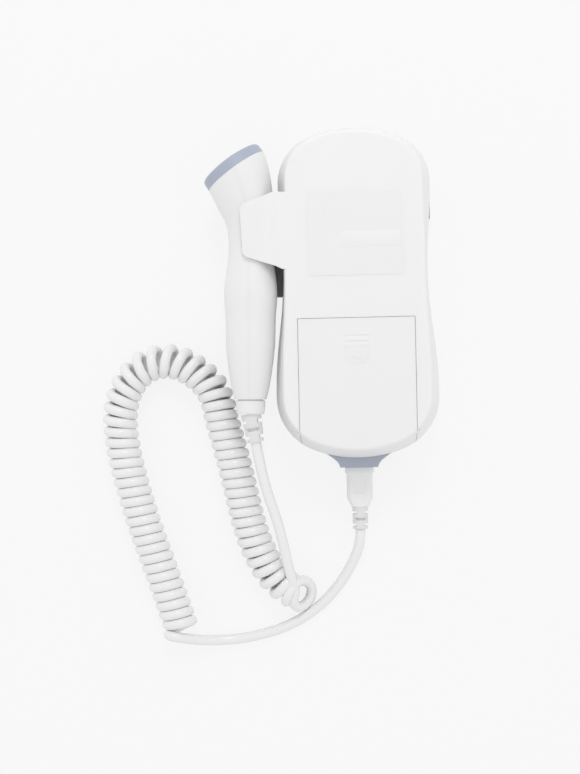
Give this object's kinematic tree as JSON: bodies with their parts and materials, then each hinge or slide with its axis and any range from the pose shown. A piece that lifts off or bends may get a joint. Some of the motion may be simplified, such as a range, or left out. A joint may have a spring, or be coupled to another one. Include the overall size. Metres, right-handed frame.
{
  "type": "fetal doppler monitor",
  "caption": "Hand-held monitor with a waisted body, a sliding battery door and front keys, its tilted round probe held in a side clip and joined to it by a curly cord.",
  "frame": {"origin": "middle of the flat front face, on the surface that the unit lies on", "axes": "+Z out through the back of the unit, +Y towards its top end, +X towards the side key; the probe is on the -X side"},
  "size_m": [0.1408, 0.2147, 0.0372],
  "materials": {
    "shell": "fine satin moulding",
    "trim": "satin",
    "side_grey": "satin",
    "lens": "polished",
    "display": "satin",
    "board": "solder mask",
    "screw_steel": "zinc plated",
    "silicone": "matt",
    "dark_plastic": "satin",
    "pack_wrap": "shrink wrap",
    "contact_brass": "plated",
    "label": "satin film",
    "pad_rubber": "matt",
    "probe_white": "semi gloss",
    "cord_jacket": "soft satin",
    "crystal": "silvered",
    "plug_metal": "bright"
  },
  "bodies": {
    "unit": {"front_cover": "shell", "rear_cover": "shell", "trim_band": "trim", "display_lens": "lens", "lcd_module": "display", "main_board": "board", "board_screws": "screw_steel", "case_screws": "screw_steel", "key_mat": "silicone", "side_switch": "dark_plastic", "speaker": "dark_plastic", "earphone_socket": "dark_plastic", "charging_socket": "dark_plastic", "probe_socket": "dark_plastic", "battery_pack": "pack_wrap", "battery_contacts": "contact_brass", "label_plate": "label", "cradle_arm": "shell", "cradle_pad": "pad_rubber", "lead_from_probe": "cord_jacket", "curly_cord": "cord_jacket", "lead_to_plug": "cord_jacket", "plug_body": "cord_jacket", "plug_shell": "plug_metal", "plug_relief": "cord_jacket"},
    "door": {"battery_door": "shell"},
    "probe": {"probe_outer_shell": "probe_white", "probe_inner_shell": "probe_white", "probe_cap": "trim", "transducer_discs": "crystal", "probe_board": "board", "probe_collar": "probe_white", "probe_relief": "cord_jacket"},
    "power_key": {"power_key": "trim"},
    "volume_down_key": {"volume_down_key": "trim"},
    "volume_up_key": {"volume_up_key": "trim"},
    "side_key": {"side_key": "side_grey"}
  },
  "joints": [
    {"name": "door_slide", "type": "slide", "parent": "unit", "child": "door", "axis": [0, -1, 0], "range_m": [0, 0.055]},
    {"name": "probe_unclip", "type": "slide", "parent": "unit", "child": "probe", "axis": [-1, 0, 0], "range_m": [0, 0.022]},
    {"name": "power_key_press", "type": "slide", "parent": "unit", "child": "power_key", "axis": [0, 0, 1], "range_m": [0, 0.0005], "stiffness_N_per_m": 200, "springref_m": -0.0005},
    {"name": "volume_down_press", "type": "slide", "parent": "unit", "child": "volume_down_key", "axis": [0, 0, 1], "range_m": [0, 0.0005], "stiffness_N_per_m": 200, "springref_m": -0.0005},
    {"name": "volume_up_press", "type": "slide", "parent": "unit", "child": "volume_up_key", "axis": [0, 0, 1], "range_m": [0, 0.0005], "stiffness_N_per_m": 200, "springref_m": -0.0005},
    {"name": "side_key_press", "type": "slide", "parent": "unit", "child": "side_key", "axis": [-1, 0, 0], "range_m": [0, 0.0005], "stiffness_N_per_m": 200, "springref_m": -0.0005}
  ]
}
